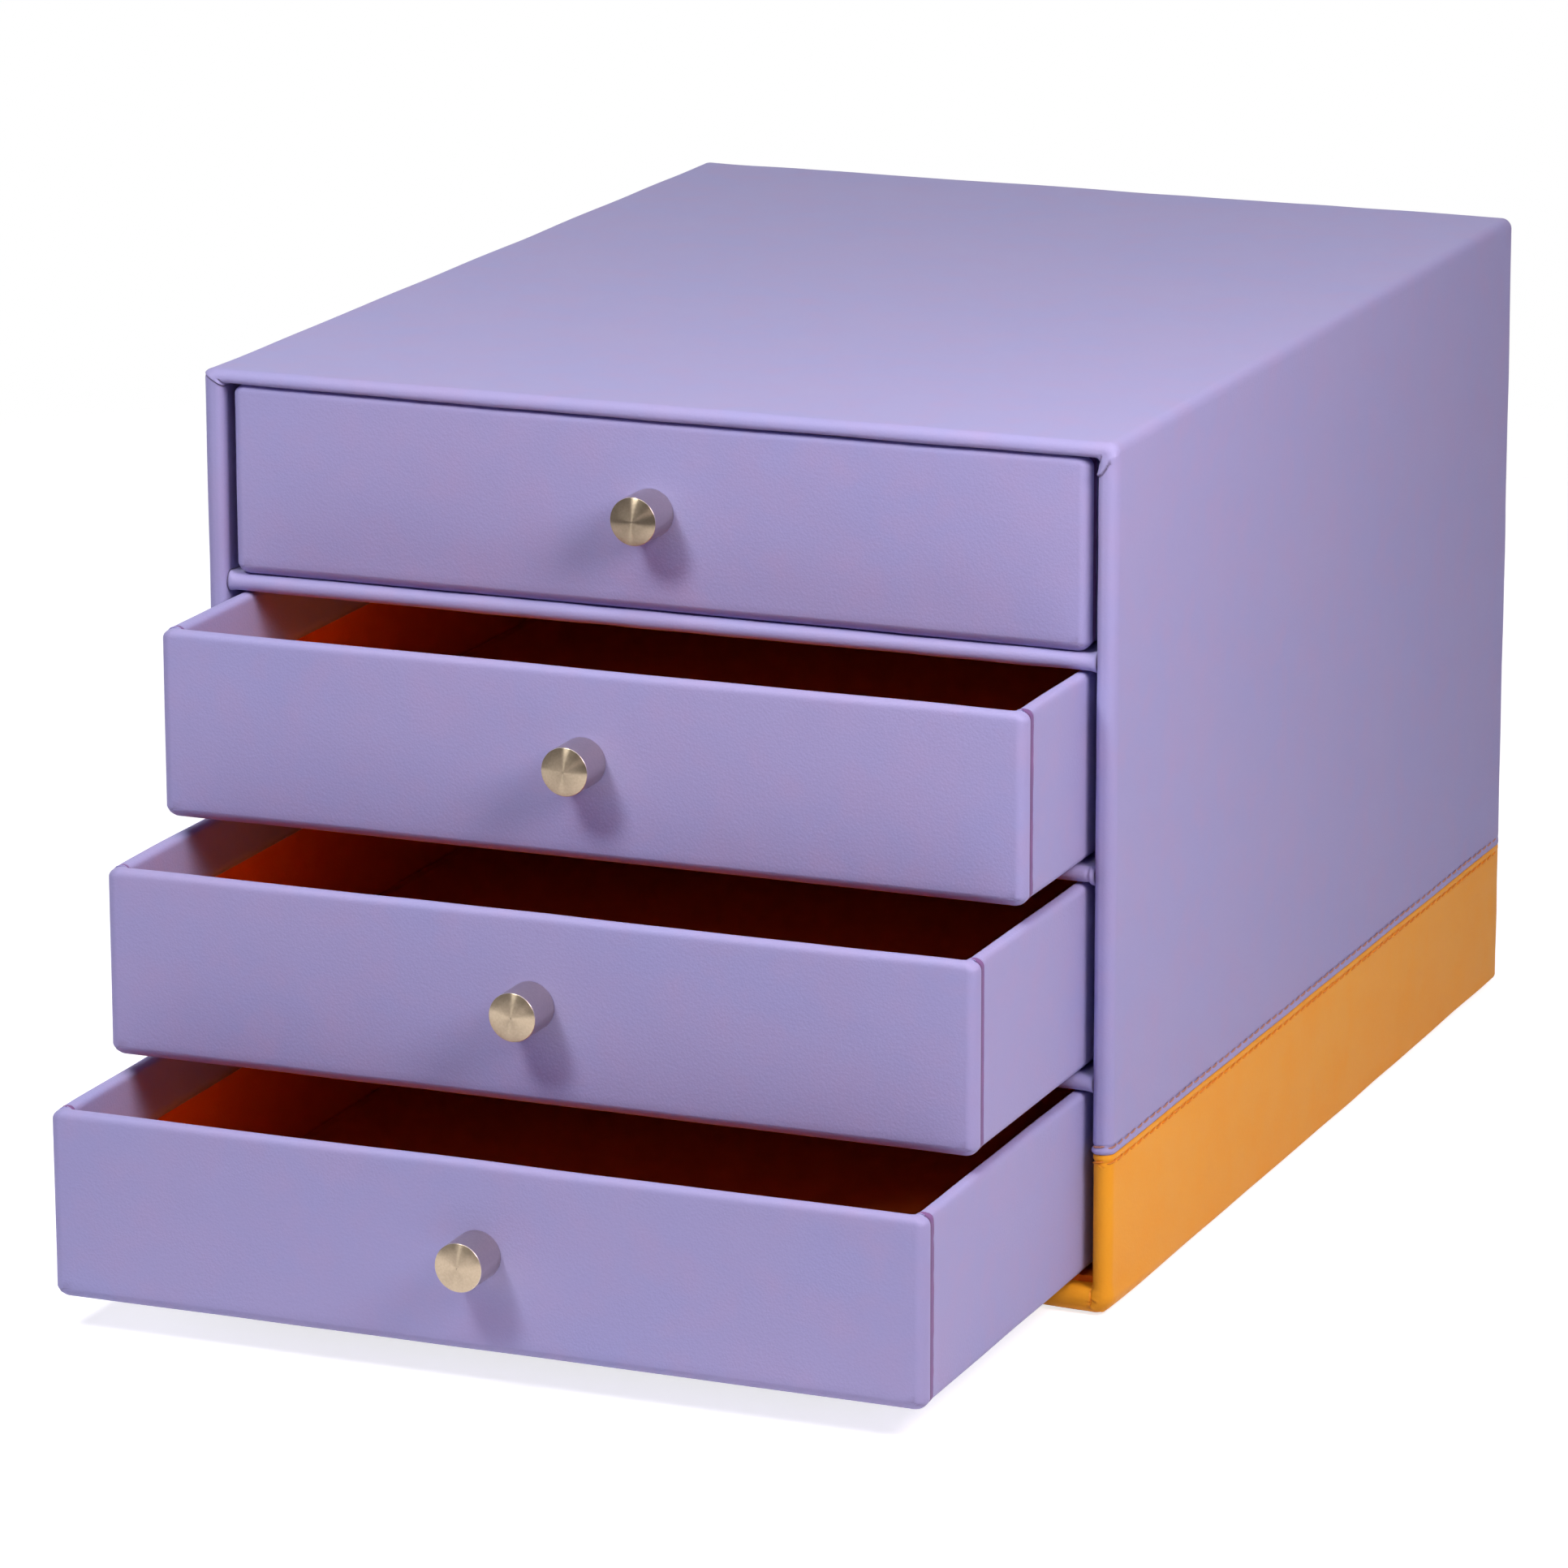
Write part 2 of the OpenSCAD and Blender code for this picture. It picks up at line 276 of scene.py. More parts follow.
def leatherette(name, base, cool, warm, crease, roughness, gloss=0.5):
    """Smooth coated leatherette: a soft mottle, a fine grain, and shade painted into creases, seams and
    joints where the mesh marks it.
    """
    material, tree, shader, place = new_material(name)
    broad = noise(tree, place, 26.0, 3.0)
    patch = noise(tree, place, 90.0, 4.0)
    color = mix_color(tree, ramp(tree, broad, 0.35, 0.7), base, cool)
    color = mix_color(tree, ramp(tree, patch, 0.45, 0.8), color, warm)
    # Painted shade: the colour goes towards the given shade colour by the mesh's painted shade attribute.
    dark = node(tree, "ShaderNodeAttribute", attribute_name="crease").outputs["Fac"]
    color = mix_color(tree, dark, color, crease)
    pores = node(tree, "ShaderNodeTexVoronoi", {"Vector": place, "Scale": 1300.0})
    fine = noise(tree, place, 2600.0, 3.0)
    height = node(tree, "ShaderNodeMath", {0: pores.outputs["Distance"], 1: fine}, operation="ADD")
    add_relief(tree, shader, height.outputs[0], 0.12, 0.0003)
    rough = spread(tree, patch, roughness - 0.05, roughness + 0.06)
    fill(tree, shader, {"Base Color": color, "Roughness": rough, "IOR": 1.47,
                        "Specular IOR Level": gloss})
    return material


def brushed_face(name):
    """Turned steel: the light streaks out from the middle of the knob's face."""
    material, tree, shader, place = new_material(name)
    fine = noise(tree, place, 1800.0, 2.0)
    color = mix_color(tree, ramp(tree, fine, 0.3, 0.7), (0.42, 0.34, 0.24, 1), (0.48, 0.39, 0.28, 1))
    rough = spread(tree, fine, 0.27, 0.31)
    tangent = node(tree, "ShaderNodeTangent", direction_type="RADIAL", axis="Y").outputs[0]
    fill(tree, shader, {"Base Color": color, "Roughness": rough, "Tangent": tangent, "Metallic": 1.0,
                        "Anisotropic": 0.96, "Anisotropic Rotation": 0.25})
    return material


def plain(name, base, other, roughness, scale, relief, metallic=0.0):
    """A plain finish with a fine procedural mottle and relief."""
    material, tree, shader, place = new_material(name)
    fine = noise(tree, place, scale, 4.0)
    color = mix_color(tree, ramp(tree, fine, 0.3, 0.7), base, other)
    add_relief(tree, shader, fine, relief, 0.0002)
    fill(tree, shader, {"Base Color": color, "Roughness": roughness, "Metallic": metallic})
    return material


# The last colour of each leatherette is the shade that is painted in its creases, seams and joints.
lavender = leatherette("lavender_leatherette", (0.393, 0.372, 0.630, 1), (0.370, 0.370, 0.645, 1),
                       (0.418, 0.370, 0.618, 1), (0.05, 0.015, 0.03, 1), 0.56, gloss=0.25)
orange = leatherette("orange_leatherette", (0.990, 0.425, 0.020, 1), (0.985, 0.440, 0.024, 1),
                     (0.995, 0.410, 0.016, 1), (0.66, 0.17, 0.01, 1), 0.55, gloss=0.25)
lining = leatherette("orange_lining", (0.94, 0.215, 0.010, 1), (0.92, 0.200, 0.010, 1),
                     (0.96, 0.230, 0.012, 1), (0.56, 0.08, 0.0, 1), 0.6, gloss=0.2)
wrap_edge = leatherette("wrap_edge", (0.195, 0.100, 0.265, 1), (0.170, 0.080, 0.230, 1),
                        (0.260, 0.120, 0.300, 1), (0.110, 0.045, 0.150, 1), 0.6)
threads = {"upper": plain("thread", (0.56, 0.27, 0.15, 1), (0.38, 0.17, 0.13, 1), 0.6, 3000.0, 0.4),
           "lower": plain("low_thread", (0.85, 0.30, 0.01, 1), (0.70, 0.21, 0.01, 1), 0.6, 3000.0, 0.4)}
steel_face = brushed_face("steel_face")
steel_side = plain("steel_side", (0.58, 0.51, 0.48, 1), (0.63, 0.56, 0.52, 1), 0.33, 1500.0,
                   0.02, 1.0)
screw_steel = plain("screw_steel", (0.52, 0.51, 0.50, 1), (0.60, 0.59, 0.57, 1), 0.35, 900.0,
                    0.05, 1.0)
greyboard = plain("greyboard", (0.30, 0.27, 0.23, 1), (0.24, 0.21, 0.17, 1), 0.9, 700.0, 0.3)
black_felt = plain("black_felt", (0.012, 0.011, 0.012, 1), (0.03, 0.028, 0.03, 1), 0.95, 2200.0, 0.6)


# ---- The camera ----

# A long lens about 2 m away, turned right of the front and above it. The lens and the
# sensor are in millimetres, and the place is in metres.
LENS, SENSOR_W = 171.77, 36.0
AZIMUTH, ELEVATION, ROLL = math.radians(22.433), math.radians(14.754), math.radians(-0.133)
CAMERA_PLACE = (0.76164, -1.92480, 0.63513)


def add_camera():
    """The photo's camera."""
    right = np.array([math.cos(AZIMUTH), math.sin(AZIMUTH), 0.0])
    ahead = np.array([-math.sin(AZIMUTH) * math.cos(ELEVATION),
                      math.cos(AZIMUTH) * math.cos(ELEVATION), -math.sin(ELEVATION)])
    up = np.cross(right, ahead)
    turned = right * math.cos(ROLL) + up * math.sin(ROLL)
    up = up * math.cos(ROLL) - right * math.sin(ROLL)
    data = bpy.data.cameras.new("camera")
    data.lens = LENS
    data.sensor_width = SENSOR_W
    data.clip_start, data.clip_end = 0.05, 60.0
    camera = bpy.data.objects.new("camera", data)
    columns = Matrix((turned, up, -ahead)).transposed().to_4x4()
    camera.matrix_world = Matrix.Translation(CAMERA_PLACE) @ columns
    bpy.context.scene.collection.objects.link(camera)
    bpy.context.scene.camera = camera


add_camera()


# ---- Walls that are swept round a loop ----

# Steps round each corner of a loop
CORNER_STEPS = 22


def loop_pair(outer, inner, radii, inner_r, lines):
    """Points of an outer and an inner rounded rectangle that belong together.

    outer and inner are (low a, high a, low b, high b). The loop goes up the high a side,
    back along the high b side, down the low a side and along the low b side. radii are the
    outer corners' in that order, and lines are the places shared by both on each side.
    """
    ends = ((1, 1, 0), (-1, 1, 90), (-1, -1, 180), (1, -1, 270))
    sides = ((1, 0, lines[0]), (3, 1, lines[1][::-1]), (0, 0, lines[2][::-1]), (2, 1, lines[3]))
    pairs, labels = [], []
    for k, (edge, axis, places) in enumerate(sides):
        for place in places:
            both = [(box[edge], place) if axis == 0 else (place, box[edge]) for box in (outer, inner)]
            pairs.append(both)
            labels.append(k)
        sign_a, sign_b, start = ends[k]
        corners = []
        for box, radius in ((outer, radii[k]), (inner, inner_r)):
            a = (box[1] if sign_a > 0 else box[0]) - sign_a * radius
            b = (box[3] if sign_b > 0 else box[2]) - sign_b * radius
            corners.append(arc((a, b), radius, start, start + 90, CORNER_STEPS))
        pairs.extend(zip(*corners))
        labels.extend([k + 0.5] * (CORNER_STEPS + 1))
    pairs = np.array(pairs, float)
    return pairs[:, 0], pairs[:, 1], np.array(labels)


def sweep(outer, inner, profile):
    """Grid of points: each pair of loop points carries a profile of (inwards, along) places."""
    wall = inner - outer
    width = np.linalg.norm(wall, axis=1)
    rows = []
    for start, way, w in zip(outer, wall / width[:, None], width):
        shape = profile(w)
        flat = start[None, :] + way[None, :] * shape[:, :1]
        rows.append(np.concatenate([flat, shape[:, 1:]], 1))
    return np.array(rows)


# ---- The case's covers ----

# The round edge at the back and the cover's turned edge there
BACK_R, BACK_FLAP = 3.5, 14.0
# The front bead's radii at the outer face and at the mouth
UPPER_BEAD, LOWER_BEAD = (3.0, 1.9), (3.3, 2.7)
# The case's long edges, at the top and at the foot
TOP_R, FOOT_R = 3.2, 5.0
# The foot's long edges get sharper towards the back: by how much, and over what depth
BEHIND_R, BEHIND_SHARE, BEHIND_DEPTH = 1.1, 0.94, 75.0
# The foot's lower edge at the back
FOOT_BACK_R = 3.8
# The ends of the side walls at the foot: their rounding at the mouth and outside
END_LIP_R, END_R = 2.4, 3.0
# How much the folds under the foot's front corners add to the cover
FOOT_DROP = 0.5
# Where the walls' straight parts end, short of the mouth's corners
SIDE_Z0, SIDE_Z1 = 8.4, 228.5
UPPER_ACROSS, LOWER_ACROSS = 123.0, 123.4
# The walls' rows from the back to the front bead, closer from this depth on
DEPTH_ROWS, CLOSE_Y = 60, FRONT_Y + 24.0


def case_profile(outer_r, inner_r):
    """Wall profile from the back flap over the outer face and the front bead into the mouth."""

    def profile(width):
        scale = min(1.0, width / (outer_r + inner_r + 0.2))
        a, b = outer_r * scale, inner_r * scale
        flap = np.stack([spaced(BACK_FLAP, BACK_R, 3.0)[:-1]], 1)
        flap = np.concatenate([flap, np.full_like(flap, BACK_Y)], 1)
        back = arc((BACK_R, BACK_Y - BACK_R), BACK_R, 90, 180, 6)
        depth = np.concatenate([spaced(BACK_Y - BACK_R, CLOSE_Y, 6.0)[1:],
                                spaced(CLOSE_Y, FRONT_Y + a, 2.0)[1:-1]])
        depth = np.interp(np.linspace(0, 1, DEPTH_ROWS), np.linspace(0, 1, len(depth)), depth)
        face = np.stack([np.zeros_like(depth), depth], 1)
        bead = arc((a, FRONT_Y + a), a, 180, 270, 14)
        flat = np.linspace(a, width - b, 8)[1:-1]
        flat = np.stack([flat, np.full_like(flat, FRONT_Y)], 1)
        lip = arc((width - b, FRONT_Y + b), b, -90, 0, 14)
        inside = np.linspace(FRONT_Y + b, FRONT_Y + TURN_IN, 6)[1:]
        inside = np.stack([np.full_like(inside, width), inside], 1)
        return np.concatenate([flap, back, face, bead, flat, lip, inside])

    return profile


def seam_shift(y):
    """How far the seam lies above its mean height at a depth."""
    return np.interp(y, [FRONT_Y, BACK_Y], [SEAM_FRONT, SEAM_BACK])


def dense_lines(low, high, step, marks):
    """Places from low to high, with closer places round some marks."""
    places = set(np.round(spaced(low, high, step), 4))
    for mark, reach, fine in marks:
        places = {p for p in places if abs(p - mark) > reach}
        places |= set(np.round(np.arange(mark - reach, mark + reach + fine / 2, fine), 4))
    return np.array(sorted(p for p in places if low - 1e-6 <= p <= high + 1e-6))


def case_grid(lower):
    """The case's skin above or below the seam, with its seam line at one edge."""
    at_seam = (SEAM_Z, 4.5, 0.3)
    if lower:
        sides = dense_lines(SIDE_Z0, SEAM_Z, 5.0, [at_seam, (SIDE_Z0, 3.0, 0.4)])
    else:
        sides = dense_lines(SEAM_Z, SIDE_Z1, 5.0, [at_seam, (SIDE_Z1, 6.0, 0.3)])
    end = LOWER_ACROSS if lower else UPPER_ACROSS
    across = dense_lines(-end, end, 4.0, [(-end, 4.0, 0.35), (end, 4.0, 0.35)])
    outer = (-CASE_X, CASE_X, FOOT_Z, TOP_Z)
    inner = (-MOUTH_X, MOUTH_X, MOUTH_Z0, MOUTH_Z1)
    lines = (sides, across, sides, across)
    out, mouth, label = loop_pair(outer, inner, (TOP_R, TOP_R, FOOT_R, FOOT_R), MOUTH_R, lines)
    sharp = loop_pair(outer, inner, (TOP_R, TOP_R, BEHIND_R, BEHIND_R), MOUTH_R, lines)[0] - out
    keep = (label >= 2) | (label == 0) if lower else label <= 2
    out, mouth, sharp, label = out[keep], mouth[keep], sharp[keep], label[keep]
    if lower:
        # The lower loop starts on the left side, and the right side goes to its end.
        first = int(np.argmax(label == 2))
        out, mouth, sharp = (np.roll(v, -first, axis=0) for v in (out, mouth, sharp))
    points = sweep(out, mouth, case_profile(*(LOWER_BEAD if lower else UPPER_BEAD)))
    # The sweep's plane is X and Z, and its profile runs along Y.
    depth = points[0, :, 2]
    behind = BEHIND_SHARE * (1 - np.exp((FRONT_Y - depth) / BEHIND_DEPTH))
    behind[int(np.argmin(depth)) :] = 0
    points[..., :2] += sharp[:, None, :] * behind[None, :, None]
    points = points[..., [0, 2, 1]]
    middle = (points.shape[0] // 2, points.shape[1] // 2)
    return facing(points, middle, (0, 0, -1 if lower else 1))


def seam_relief(points, lower):
    """Height of the skin over its plain form near the seam, and how much shade is painted along the seam
    and the stitch row.
    """
    z = points[..., 2] - SEAM_Z
    rise = -z if lower else z
    if lower:
        lift = 0.12 * bump(rise, 1.0, 0.8) - 0.28 * bump(rise, STITCH_OFFSET, 0.42)
        lift = lift - 0.2 * bump(rise, 0.0, 0.35)
        dark = 0.3 * bump(rise, 0.0, 0.25) + 0.15 * bump(rise, STITCH_OFFSET, 0.3)
    else:
        lift = 0.42 * bump(rise, 0.95, 0.95) - 0.3 * bump(rise, STITCH_OFFSET + 0.1, 0.45)
        lift = lift - 0.25 * bump(rise, 0.0, 0.3)
        dark = 0.2 * bump(rise, 0.0, 0.2) + 0.1 * bump(rise, STITCH_OFFSET, 0.3)
    return lift, dark


def front_mask(points):
    """1 on the front bead, 0 further back than its rounding."""
    return 1 - step_up(points[..., 1], FRONT_Y + 3.0, FRONT_Y + 6.0)


# Folds at the corners of the front: a line in X and Z, the lobe's height and its width
UPPER_FOLDS = (
    ([(124.1, 224.9), (124.9, 225.2), (125.8, 225.8), (126.6, 227.0), (127.4, 228.4), (128.9, 229.7),
      (129.4, 229.9)], 0.55, 1.3),
    ([(124.2, 228.1), (124.8, 228.7), (125.5, 230.5)], -0.4, 0.5),
    ([(-129.4, 232.3), (-128.0, 231.7), (-125.9, 230.5), (-124.1, 229.3), (-123.9, 228.6)], 0.4, 1.2),
    ([(-123.0, 229.7), (-123.9, 230.3), (-125.0, 231.3)], -0.35, 0.5),
)
LOWER_FOLDS = (
    ([(124.8, 4.6), (125.4, 4.3), (126.3, 3.9)], 0.22, 0.5),
    ([(124.3, 2.4), (125.4, 1.6), (127.0, 1.0)], 0.30, 0.6),
    ([(-124.6, 4.6), (-126.4, 3.9)], -0.22, 0.5),
    ([(127.9, 40.1), (127.1, 40.7), (126.1, 41.3)], 0.2, 0.5),
)


def side_over_base(points):
    """At the lower corners the side wall's front runs down past the end of the base's."""
    across = np.abs(points[..., 0]) - MOUTH_X
    recess = points[..., 1] - FRONT_Y
    end_z = MOUTH_Z0 + 0.4
    corner = (across > 0) & (points[..., 2] < end_z) & (recess < LOWER_BEAD[0] + 0.01)
    lip = END_LIP_R - np.clip(across, 0, END_LIP_R)
    lip = END_LIP_R - np.sqrt(END_LIP_R**2 - lip**2)
    lip = lip * (0.4 + 0.6 * step_up(points[..., 2], 6.0, end_z))
    middle = np.array([CASE_X - FOOT_R, FOOT_Z + FOOT_R])
    away = np.maximum(np.stack([np.abs(points[..., 0]), -points[..., 2]], -1) - middle * [1, -1], 0)
    outer = np.clip(END_R - (FOOT_R - np.linalg.norm(away, axis=-1)), 0, END_R)
    outer = END_R - np.sqrt(END_R**2 - outer**2)
    points[..., 1] = np.where(corner, FRONT_Y + np.maximum(lip, outer), points[..., 1])


def round_back(points):
    """The foot's lower edge at the back, rounded."""
    past = np.clip(points[..., 1] - BACK_Y + FOOT_BACK_R, 0, FOOT_BACK_R)
    round_z = FOOT_Z + FOOT_BACK_R - np.sqrt(FOOT_BACK_R**2 - past**2)
    points[..., 2] = np.maximum(points[..., 2], round_z)


def foot_corner(points):
    """1 low at the foot's front corners, where the cover's folds make it thicker."""
    low = 1 - step_up(points[..., 2], 4.0, 9.0)
    aside = step_up(np.abs(points[..., 0]), 98.0, 124.0)
    return low * aside * (1 - step_up(points[..., 1], FRONT_Y + 7.0, FRONT_Y + 70.0))


def mouth_lift(x):
    """How far the mouth's upper edge bends up from straight, most at the left."""
    return 0.15 + 0.6 * np.clip(-x / MOUTH_X, 0, 1) ** 2


def bend_mouth(points):
    """The mouth's upper edge bent up near its front, less and less towards the top."""
    z = points[..., 2]
    weight = np.clip((TOP_Z - z) / (TOP_Z - MOUTH_Z1), 0, 1) * step_up(z, 205.0, 226.0)
    weight = weight * (1 - step_up(points[..., 1], FRONT_Y + 20.0, FRONT_Y + 60.0))
    points[..., 2] += mouth_lift(points[..., 0]) * weight


def case_skin(lower):
    """The case's cover below or above the seam: its points, and how much shade is painted in its seam,
    folds and corner joints.
    """
    points = case_grid(lower)
    if lower:
        side_over_base(points)
        round_back(points)
    else:
        bend_mouth(points)
    normal = grid_normals(points)
    lift, dark = seam_relief(points, lower)
    on_side = step_up(np.abs(points[..., 0]), 120.0, 124.0)
    on_side = on_side * (1 - 0.8 * step_up(points[..., 1], 150.0, 167.0))
    lift, dark = lift * on_side, dark * on_side
    lift = lift + 0.09 * wobble(points, 70.0, 11) + 0.05 * wobble(points, 24.0, 12)
    near = front_mask(points)
    for line, height, width in LOWER_FOLDS if lower else UPPER_FOLDS:
        rise, crease = fold(points[..., [0, 2]], line, height, width)
        lift = lift + rise * near
        # Shade painted in the crease beside each fold.
        dark = np.maximum(dark, 0.7 * crease * near)
    if lower:
        # Painted shade down the joint at the foot's front corners, where the side wall's front runs past
        # the base's.
        under = near * (points[..., 2] < MOUTH_Z0 - 0.5)
        dark = np.maximum(dark, 0.6 * bump(np.abs(points[..., 0]), MOUTH_X, 0.25) * under)
        lift = lift + FOOT_DROP * foot_corner(points)
    points = points + normal * lift[..., None]
    points[..., 2] += seam_shift(points[..., 1]) * bump(points[..., 2], SEAM_Z, 14.0)
    return points, dark


grid_piece(*case_skin(False), "case_upper_skin", "case", lavender, "lavender_leatherette",
           ["upper_cover"], 0.5)
grid_piece(*case_skin(True), "case_base_skin", "case", orange, "orange_leatherette",
           ["base_cover"], 0.5)


# ---- Stitches ----

THREAD_R = 0.24
STITCH_PITCH, STITCH_L = 5.0, 4.3
# How deep a stitch's ends lie, and how far its middle stands above them
STITCH_SUNK, STITCH_RISE = 0.34, 0.46


def seam_path(side):
    """A side's seam line from the mouth round the front bead to the back panel."""
    outer_r, mouth_r = UPPER_BEAD
    lip = arc((MOUTH_X + mouth_r, FRONT_Y + mouth_r), mouth_r, 180, 270, 6)
    bead = arc((CASE_X - outer_r, FRONT_Y + outer_r), outer_r, -90, 0, 8)
    back = arc((CASE_X - BACK_R, BACK_Y - BACK_R), BACK_R, 0, 90, 8)
    path = np.concatenate([lip, bead, back, [[CASE_X - 7.0, BACK_Y]]])
    path[:, 0] *= side
    return path


def along_path(path, places):
    """Points and outward directions at some lengths along a path."""
    steps = np.linalg.norm(np.diff(path, axis=0), axis=1)
    length = np.concatenate([[0], np.cumsum(steps)])
    at = np.stack([np.interp(places, length, path[:, k]) for k in (0, 1)], -1)
    ahead = np.stack([np.interp(places + 0.3, length, path[:, k]) for k in (0, 1)], -1)
    behind = np.stack([np.interp(places - 0.3, length, path[:, k]) for k in (0, 1)], -1)
    way = ahead - behind
    way /= np.maximum(np.linalg.norm(way, axis=-1, keepdims=True), 1e-9)
    return at, np.stack([way[..., 1], -way[..., 0]], -1), length[-1]


def stitch_row(shell, side, offset, slant, draw):
    """Short slanted stitches that rise out of one needle hole and sink into the next."""
    path = seam_path(side)
    total = along_path(path, np.array([0.0]))[2]
    rings, around = 9, 6
    turn = np.linspace(0, 2 * math.pi, around, endpoint=False)
    for start in np.arange(0.5, total - STITCH_L, STITCH_PITCH):
        start += draw.uniform(-0.2, 0.2)
        t = np.linspace(0, 1, rings)
        at, outward, _ = along_path(path, start + t * STITCH_L)
        outward = outward * side
        rise = -STITCH_SUNK + STITCH_RISE * np.sin(math.pi * t) ** 0.6
        rise = rise - 0.3 * step_up(at[:, 1], BACK_Y - 8.0, BACK_Y - 3.0)
        z = SEAM_Z + seam_shift(at[:, 1]) + offset + slant * (t - 0.5) + draw.uniform(-0.08, 0.08)
        middle = np.stack([at[:, 0] + outward[:, 0] * rise, at[:, 1] + outward[:, 1] * rise, z], 1)
        radius = THREAD_R * (0.55 + 0.45 * np.sin(math.pi * t) ** 0.5)
        normal = np.stack([outward[:, 0], outward[:, 1], np.zeros(rings)], 1)
        ring = (middle[:, None, :]
                + radius[:, None, None] * np.cos(turn)[None, :, None] * normal[:, None, :]
                + radius[:, None, None] * np.sin(turn)[None, :, None] * np.array([0, 0, 1.0]))
        index, after = ring_index(rings, around)
        quads = np.stack([index[:-1], after[:-1], after[1:], index[1:]], -1).reshape(-1, 4)
        ends = np.stack([index[0][::-1], index[-1]]) + shell.count
        shell.add(ring, quads)
        shell.faces.extend(ends.tolist())


def stitches():
    """The rows of stitches above and below the seam, on both sides."""
    draw = np.random.default_rng(5)
    for name, offset, slant in (("upper", STITCH_OFFSET, 0.5), ("lower", -STITCH_OFFSET, 0.9)):
        shell = Shell()
        for side in (1, -1):
            stitch_row(shell, side, offset, slant, draw)
        slot = "lavender_leatherette" if name == "upper" else "orange_leatherette"
        shell.make("stitches_" + name, "case", threads[name], slot)


stitches()


# ---- Sheets ----


def sheet_grid(x_lines, y_lines, z):
    """A flat grid over X and Y lines, facing up."""
    x, y = np.meshgrid(x_lines, y_lines, indexing="ij")
    return np.stack([x, y, np.full_like(x, z)], -1)


# The panel at the back, the thickness that it rises to and the width of its rounded edge
PANEL_X, PANEL_Z0, PANEL_Z1 = 124.0, 6.6, 228.0
PANEL_RISE, PANEL_EDGE = 0.8, 1.2


def panel_lines(low, high):
    """Places across the panel, closer at its rounded edges."""
    rim = np.array([0.0, 0.1, 0.4])
    return np.concatenate([low + rim, spaced(low + PANEL_EDGE, high - PANEL_EDGE, 8.0), high - rim[::-1]])


def back_sheet():
    """The panel of leatherette over the turned edges at the back."""
    grid = sheet_grid(panel_lines(-PANEL_X, PANEL_X), panel_lines(PANEL_Z0, PANEL_Z1), 0.0)
    grid = grid[..., [0, 2, 1]]
    edge = np.minimum(PANEL_X - np.abs(grid[..., 0]),
                      np.minimum(grid[..., 2] - PANEL_Z0, PANEL_Z1 - grid[..., 2]))
    edge = np.clip(edge / PANEL_EDGE, 0, 1)
    rise = PANEL_RISE * np.sqrt(edge * (2 - edge))
    grid[..., 1] = BACK_Y + rise * (0.92 + 0.05 * wobble(grid, 45.0, 31))
    grid_piece(facing(grid, (5, 5), (0, 1, 0)), None, "case_back_sheet", "case", lavender,
               "lavender_leatherette", ["back_panel"], 0.4)


back_sheet()


# How far the leatherette flares up and down where each shelf meets the side walls
SHELF_FLARE = {1: (0.8, 0.45), 2: (-0.2, 0.9), 3: (0.15, 0.55)}


def shelf_skin(number):
    """Leatherette round a shelf's front edge, with soft rounded ends."""
    low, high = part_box(f"shelf_{number}_cover")
    front, back = low.y / MM, high.y / MM
    middle, radius = (low.z / MM + high.z / MM) / 2, (high.z / MM - low.z / MM) / 2
    fine_ends = [(-MOUTH_X, 3.0, 0.3), (MOUTH_X, 3.0, 0.3)]
    x = dense_lines(-MOUTH_X, MOUTH_X, 3.0, fine_ends)
    depth = spaced(back, front + radius, 8.0)
    bead = arc((front + radius, 0.0), radius, -90, -270, 16)
    profile = np.concatenate([np.stack([depth, np.full_like(depth, -radius)], 1)[:-1], bead,
                              np.stack([depth[::-1], np.full_like(depth, radius)], 1)[1:]])
    grid = np.array([np.concatenate([np.full((len(profile), 1), place), profile], 1) for place in x])
    grid[..., 2] += middle
    grid = facing(grid, (len(x) // 2, len(profile) // 2), (0, -1, 0))
    normal = grid_normals(grid)
    at_front = 1 - step_up(grid[..., 1], front + 2.0, front + 5.0)
    from_end = MOUTH_X - np.abs(grid[..., 0])
    lift = at_front * (0.12 * wobble(grid, 30.0, 40 + number) - 0.10)
    # Painted shade in the joint where each shelf's end meets the side wall.
    crease = at_front * 0.85 * bump(from_end, 0.0, 0.3)
    if number == 2:
        # A fold down the middle shelf's right end
        ridge = bump(grid[..., 0], 123.2, 0.4) - bump(grid[..., 0], 122.3, 0.4)
        lift = lift + 0.2 * ridge * at_front
    upper, lower = SHELF_FLARE[number]
    rise = (grid[..., 2] - middle) / radius
    flare = bump(from_end, 0.0, 1.3) * at_front
    grid = grid + normal * lift[..., None]
    grid[..., 2] += flare * np.where(rise > 0, upper * rise, lower * rise)
    grid[..., 1] += 0.35 * bump(from_end, 0.0, 0.7) * at_front
    grid_piece(grid, crease, f"shelf_{number}_skin", "case", lavender, "lavender_leatherette",
               [f"shelf_{number}_cover"], 0.4)


for shelf in (1, 2, 3):
    shelf_skin(shelf)


# ---- The drawers ----

# The rounding of the walls' rims and lower edges, and the cover's flap under the floor
RIM_R, EDGE_R, UNDER_FLAP = WALL_T / 2, 2.7, 9.0
# Where the front cover ends at a drawer's side and where the side's cover starts
SPLIT_Y, GROOVE_END_Y = 3.6, 6.0
# How far out the cut edge between them lies, and how deep the lining lies in the walls
WRAP_X = 121.82
LINING_SUNK = 0.15


